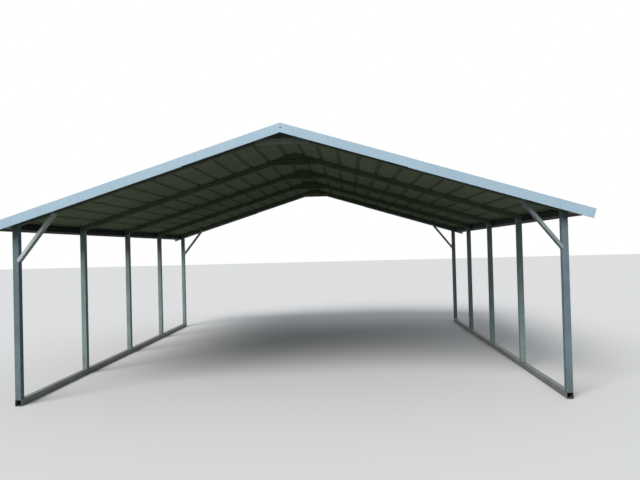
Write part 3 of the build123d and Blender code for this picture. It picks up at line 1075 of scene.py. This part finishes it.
# %% Eight lengths of gable trim, the back pair turned half a turn
for side_name, joint, turned_name, seed in (("right", far_joint, "left", 5),
                                            ("left", near_joint, "right", 9)):
    mirrored = side_name == "left"
    for level_name, start, end in (("upper", 0.0, joint + rake_lap),
                                   ("lower", joint, rake_end)):
        upper = level_name == "upper"
        strip = gable_trim(start, end, upper, seed + (not upper))
        keep_piece(f"gable_trim_front_{side_name}_{level_name}",
                   shifted(strip, mirror_x=mirrored),
                   [f"rake_trim_front_{side_name}_{level_name}"])
        keep_piece(f"gable_trim_back_{turned_name}_{level_name}",
                   shifted(strip, mirror_x=mirrored, turn_z=True),
                   [f"rake_trim_back_{turned_name}_{level_name}"])
print("one length of gable trim:", len(strip.polygons), "faces")

# %% [markdown]
# ## Eave trim
# A small folded angle closes the lower edge of the roof: its flange lies on the last pan
# and its plumb face covers the cut edge, with a narrow hem turned in below. It is the
# same along its whole length, so the folding helper makes it from one outline.

# %% Eave trim on both sides
eave_flange, eave_drop, eave_hem, eave_fold = 48 * MM, 30 * MM, 12 * MM, 1.0 * MM
eave_stations = 25
past_sheet = 1.5 * MM
eave_top = sheet_gauge / slope_x + eave_gap + trim_gauge / 2
out_x, out_z = on_slope(slope_length + past_sheet, eave_top)
in_x, in_z = on_slope(slope_length - eave_flange, eave_top)
face_x = out_x + trim_gauge / 2
outline = folded_outline([(in_x, in_z), (face_x, out_z), (face_x, out_z - eave_drop),
                          (face_x - eave_hem, out_z - eave_drop)], trim_gauge, eave_fold, 2)
rings = []
for n in range(eave_stations):
    y = (sheet_half_length - MM) * (2 * n / (eave_stations - 1) - 1)
    rings.append([Vector((p.x, y, p.y)) for p in outline])
eave = solid_from_rings("eave_trim", rings, eave_paint)
keep_piece("eave_angle_right", eave, ["eave_trim_right"])
keep_piece("eave_angle_left", shifted(eave, mirror_x=True), ["eave_trim_left"])
print("eave trim: lowest", round(min(v.co.z for v in eave.vertices), 4))

# %% [markdown]
# ## Screws
# Self-drilling screws with a hex head and a rubber washer hold the sheets, and smaller
# ones the braces and the posts. They could be copied one by one, but they repeat by the
# hundred, so a Geometry Nodes tree puts one on each point of a point cloud, turned to
# the way the point faces and spun by a random angle from a fixed seed, because no two
# are driven home at the same angle.

# %% Start the tree for hex screws
head_width, head_height, washer_radius, washer_thickness = 8 * MM, 4 * MM, 7 * MM, 1.4 * MM
screw_tree, size, screw_end = start_tree("hex_screws", [
    ("Head Width", "Float", head_width),
    ("Head Height", "Float", head_height),
    ("Flange Radius", "Float", 0.75 * head_width),
    ("Washer Radius", "Float", washer_radius),
    ("Washer Thickness", "Float", washer_thickness),
    ("Seed", "Int", 7),
    ("Head Finish", "Material", None),
    ("Washer Finish", "Material", None),
])


def scaled(measure, factor):
    """A size in the screw tree times a number."""
    return times(screw_tree, measure, factor)


def screw_disc(corners, bottom, top, depth, base):
    """Cone frustum standing on a height, as one part of the screw."""
    cone = add_node(screw_tree, "GeometryNodeMeshCone", {
        "Vertices": corners, "Radius Bottom": bottom, "Radius Top": top, "Depth": depth})
    lifted = add_node(screw_tree, "ShaderNodeCombineXYZ", {"Z": base})
    return add_node(screw_tree, "GeometryNodeTransform", {
        "Geometry": cone.outputs["Mesh"], "Translation": lifted.outputs[0]}).outputs[0]


print("screw tree:", len(size) - 1, "inputs")

# %% Parts of a screw
head_radius = maths(screw_tree, "DIVIDE", size["Head Width"], math.sqrt(3))
flange_depth = scaled(size["Head Height"], 0.25)
head_base = maths(screw_tree, "ADD", size["Washer Thickness"], scaled(flange_depth, 0.8))
head_depth = scaled(size["Head Height"], 0.62)
washer = screw_disc(14, size["Washer Radius"], scaled(size["Washer Radius"], 0.92),
                    size["Washer Thickness"], 0.0)
flange = screw_disc(12, size["Flange Radius"], scaled(size["Flange Radius"], 0.8),
                    flange_depth, size["Washer Thickness"])
head = screw_disc(6, head_radius, head_radius, head_depth, head_base)
crown = screw_disc(6, head_radius, scaled(head_radius, 0.8), scaled(size["Head Height"], 0.13),
                   maths(screw_tree, "ADD", head_base, head_depth))
metal = together(screw_tree, (flange, head, crown))
print("nodes so far:", len(screw_tree.nodes))

# %% A screw on each point, aimed and spun
facing = screw_tree.nodes.new("GeometryNodeInputNamedAttribute")
facing.data_type = "FLOAT_VECTOR"
facing.inputs["Name"].default_value = "facing"
aim = add_node(screw_tree, "FunctionNodeAlignRotationToVector", {"Vector": facing.outputs[0]})
aim.axis = "Z"
spin = screw_tree.nodes.new("FunctionNodeRandomValue")
spin.data_type = "FLOAT"
feed(screw_tree, spin, {"Seed": size["Seed"], 3: math.pi / 3})
turn = add_node(screw_tree, "FunctionNodeAxisAngleToRotation", {"Angle": spin.outputs[1]})
both_turns = screw_tree.nodes.new("FunctionNodeRotateRotation")
both_turns.rotation_space = "LOCAL"
feed(screw_tree, both_turns, {"Rotation": aim.outputs[0], "Rotate By": turn.outputs[0]})
halves = []
for part, finish_name in ((metal, "Head Finish"), (washer, "Washer Finish")):
    dots = add_node(screw_tree, "GeometryNodeInstanceOnPoints", {
        "Points": size["Geometry"], "Instance": part, "Rotation": both_turns.outputs[0]})
    halves.append(coated(screw_tree, dots.outputs[0], size[finish_name]))
feed(screw_tree, screw_end, {"Geometry": together(screw_tree, halves)})
print("screw tree:", len(screw_tree.nodes), "nodes")

# %% Keep a row of screws
frame_washer = {"Washer Radius": 6.2 * MM, "Washer Thickness": 0.6 * MM}
blind_rivet = {"Head Width": 10 * MM, "Head Height": 0.8 * MM, "Flange Radius": 7.5 * MM,
               "Washer Radius": 6 * MM, "Washer Thickness": 0.3 * MM}


def screws_at(name, places, seed, sizes=None, head_finish=screw_zinc):
    """Screws on a list of (point, facing) pairs, kept as one piece."""
    cloud = bpy.data.meshes.new("points")
    cloud.from_pydata([Vector(point) for point, _ in places], [], [])
    way = cloud.attributes.new("facing", "FLOAT_VECTOR", "POINT")
    for n, (_, facing_way) in enumerate(places):
        way.data[n].vector = facing_way
    row = grown(screw_tree, cloud, {**(sizes or {}), "Seed": seed, "Head Finish": head_finish,
                                    "Washer Finish": washer_rubber})
    row.shade_smooth()
    row.set_sharp_from_angle(angle=sharp_angle)
    return keep_piece(name, row, [])


def up_slope(side):
    """The way a screw in the roof faces."""
    return side * slope_z, 0.0, slope_x


print("screws in the right slope face", [round(c, 3) for c in up_slope(1)])

# %% Screws beside each rib, over every bow
ribs_on_slope = 13
screw_beside_rib = 36 * MM
roof_screws = []
for y in bow_places:
    for _, side in sides:
        for n in range(ribs_on_slope):
            x, z = on_slope((n + 0.5) * rib_pitch - screw_beside_rib, 0.0, side)
            roof_screws.append(((x, y, z + sheet_gauge / slope_x), up_slope(side)))
screws_at("roof_screws", roof_screws, seed=7)
print("screws in the sheets:", len(roof_screws))

# %% Screws in the trims, and a rivet at each peak
screw_from_gable = 46 * MM
for end_name, way in (("front", -1), ("back", 1)):
    rows = []
    for _, side in sides:
        for n in range(0, ribs_on_slope, 2):
            along = (n + 0.5) * rib_pitch
            joint = far_joint if side * way < 0 else near_joint
            nest = trim_nest if along < joint + rake_lap else 0.0
            x, z = on_slope(along, trim_seat + trim_gauge + nest, side)
            rows.append(((x, way * (roof_half_length - screw_from_gable), z), up_slope(side)))
    screws_at(f"gable_trim_screws_{end_name}", rows, seed=11)

rivet_x, rivet_up = 4 * MM, 43 * MM
rivet_z = on_slope(0, trim_seat + trim_gauge - rake_face + rivet_up)[1]
rivets = [((rivet_x, way * (roof_half_length - rivet_stand), rivet_z), (0, way, 0))
          for way in (-1, 1)]
screws_at("apex_rivets", rivets, 15, blind_rivet, washer_rubber)

eave_screw_spacing, screw_from_eave = 300 * MM, 30 * MM
for side_name, side in sides:
    x, z = on_slope(slope_length - screw_from_eave, eave_top + trim_gauge / 2, side)
    rows = [((x, n * eave_screw_spacing, z), up_slope(side)) for n in range(-10, 11)]
    screws_at(f"eave_screws_{side_name}", rows, seed=13)
print("screws along each eave:", len(rows))

# %% Screws in the frame
near_end, far_end = 45 * MM, 105 * MM
top = under_rafter(half_width)
frame_screws = []
for _, side in sides:
    for y in bow_places:
        for z in (tube + near_end, tube + far_end, top - far_end, top - near_end):
            frame_screws.append(((side * post_inner_x, y, z), (-side, 0, 0)))
            frame_screws.append(((side * half_width, y, z), (side, 0, 0)))
screws_at("post_screws", frame_screws, 17, frame_washer)

channel_face = channel_inside / 2 + brace_gauge
peak_inner, peak_outer, peak_screw_up = 185 * MM, 232 * MM, 27 * MM
peak_screws = []
for y in bow_places:
    for way in (-1, 1):
        for x in (-peak_outer, -peak_inner, peak_inner, peak_outer):
            peak_screws.append(((x, y + way * channel_face, collar_level + peak_screw_up),
                                (0, way, 0)))
# The screw heads under the peaks take the inner peak braces' finish, which is painted shade.
screws_at("peak_screws", peak_screws, 23, frame_washer, shaded_peak_zinc)

knee_near, knee_far, knee_screw_up = 22 * MM, 52 * MM, 17 * MM
brace_screws = []
for y in (bow_places[0], bow_places[-1]):
    for _, side in sides:
        for way in (-1, 1):
            for distance in (knee_near, knee_far, knee_length - knee_far,
                             knee_length - knee_near):
                x = post_inner_x - distance * knee_run + knee_screw_up * knee_climb
                z = knee_foot_z + distance * knee_climb + knee_screw_up * knee_run
                brace_screws.append(((side * x, y + way * channel_face, z), (0, way, 0)))
screws_at("brace_screws", brace_screws, 19, frame_washer)
print("screws in the frame:", len(frame_screws) + len(peak_screws) + len(brace_screws))

# %% [markdown]
# ## Floor, light and camera
# A carport stands out of doors, where little light comes back from below, so the underside
# of its roof lies in deep shade. A pale floor would light it up, and weaker lamps would
# dim the whole carport. So the Light Path node gives the floor two looks: plain and pale
# to the camera and to mirror rays, and dark in the light that it throws on other things.
# The sky does the same, white where it is seen and a soft blue-grey where it lights.

# %% One look for the eye and another for the light
def seen_and_thrown(tree, seen, thrown, end_name):
    """Show one shader to camera, mirror and see-through rays; light things with the other."""
    rays = tree.nodes.new("ShaderNodeLightPath").outputs
    eye = maths(tree, "MAXIMUM", rays["Is Camera Ray"], rays["Is Glossy Ray"])
    eye = maths(tree, "MAXIMUM", eye, rays["Is Transmission Ray"])
    choose = add_node(tree, "ShaderNodeMixShader", {
        0: eye, 1: thrown.outputs[0], 2: seen.outputs[0]})
    feed(tree, tree.nodes[end_name], {"Surface": choose.outputs[0]})


print("rays that see the bright look: camera, glossy, transmission")

# %% The floor
reach = 60.0
floor_mesh = bpy.data.meshes.new("floor")
floor_mesh.from_pydata([(-reach, -reach, 0), (reach, -reach, 0), (reach, reach, 0),
                        (-reach, reach, 0)], [], [(0, 1, 2, 3)])
into_scene("floor", floor_mesh)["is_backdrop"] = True
paper = bpy.data.materials.new("studio_floor")
paper.use_nodes = True
tree = paper.node_tree
tree.nodes.remove(tree.nodes["Principled BSDF"])
pale = add_node(tree, "ShaderNodeBsdfDiffuse", {"Color": (0.86, 0.86, 0.85, 1)})
shady = add_node(tree, "ShaderNodeBsdfDiffuse", {"Color": (0.11, 0.12, 0.08, 1)})
seen_and_thrown(tree, pale, shady, "Material Output")
floor_mesh.materials.append(paper)
print("floor:", 2 * reach, "m square")

# %% Sky and sun
world = bpy.data.worlds.new("sky")
bpy.context.scene.world = world
world.use_nodes = True
tree = world.node_tree
sky = feed(tree, tree.nodes["Background"], {"Color": (0.66, 0.70, 0.76, 1), "Strength": 0.55})
white = add_node(tree, "ShaderNodeBackground", {"Color": (1, 1, 1, 1)})
seen_and_thrown(tree, white, sky, "World Output")

sun_data = bpy.data.lights.new("sun", "SUN")
sun_data.energy = 2.4
sun_data.angle = math.radians(35)
sun_data.color = (1.0, 0.985, 0.96)
from_the_front = Vector((-0.42, -0.80, 0.72))
sun = into_scene("sun", sun_data)
sun.rotation_euler = from_the_front.to_track_quat("Z", "Y").to_euler()
print("sun", round(math.degrees(math.atan2(from_the_front.z, from_the_front.xy.length))),
      "degrees up")

# %% [markdown]
# The camera stands at eye height before the gable, a little to the right, and leans one
# and a half degrees, as a hand-held one does. Its place and focal length were fitted to
# points of the frame in the picture, so they aren't round numbers. Its rotation could be
# three Euler angles, but three axes worked out one by one show what each angle does.

# %% Camera where the picture was taken
camera_place = (0.6237, -8.8524, 1.4993)
focal_pixels, picture_width, sensor_width = 593.16, 640, 36
camera_data = bpy.data.cameras.new("camera")
camera_data.sensor_width = sensor_width
camera_data.lens = sensor_width * focal_pixels / picture_width
camera_data.clip_end = 200
camera = into_scene("camera", camera_data)
yaw, tilt, lean = math.radians(-2.684), math.radians(0.848), math.radians(1.4707)
forward = Vector((math.sin(yaw) * math.cos(tilt), math.cos(yaw) * math.cos(tilt),
                  math.sin(tilt)))
level = Vector((math.cos(yaw), -math.sin(yaw), 0))
down = forward.cross(level)
image_x = level * math.cos(lean) + down * math.sin(lean)
image_y = level * math.sin(lean) - down * math.cos(lean)
turned = Matrix((image_x, image_y, -forward)).transposed()
camera.matrix_world = Matrix.Translation(camera_place) @ turned.to_4x4()
bpy.context.scene.camera = camera
bpy.context.scene.view_settings.view_transform = "Standard"
print("lens", round(camera_data.lens, 2), "mm")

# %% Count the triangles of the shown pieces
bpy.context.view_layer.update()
total = sum(len(o.data.loop_triangles) or len(o.data.polygons) * 2 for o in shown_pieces())
print("about", total, "triangles")
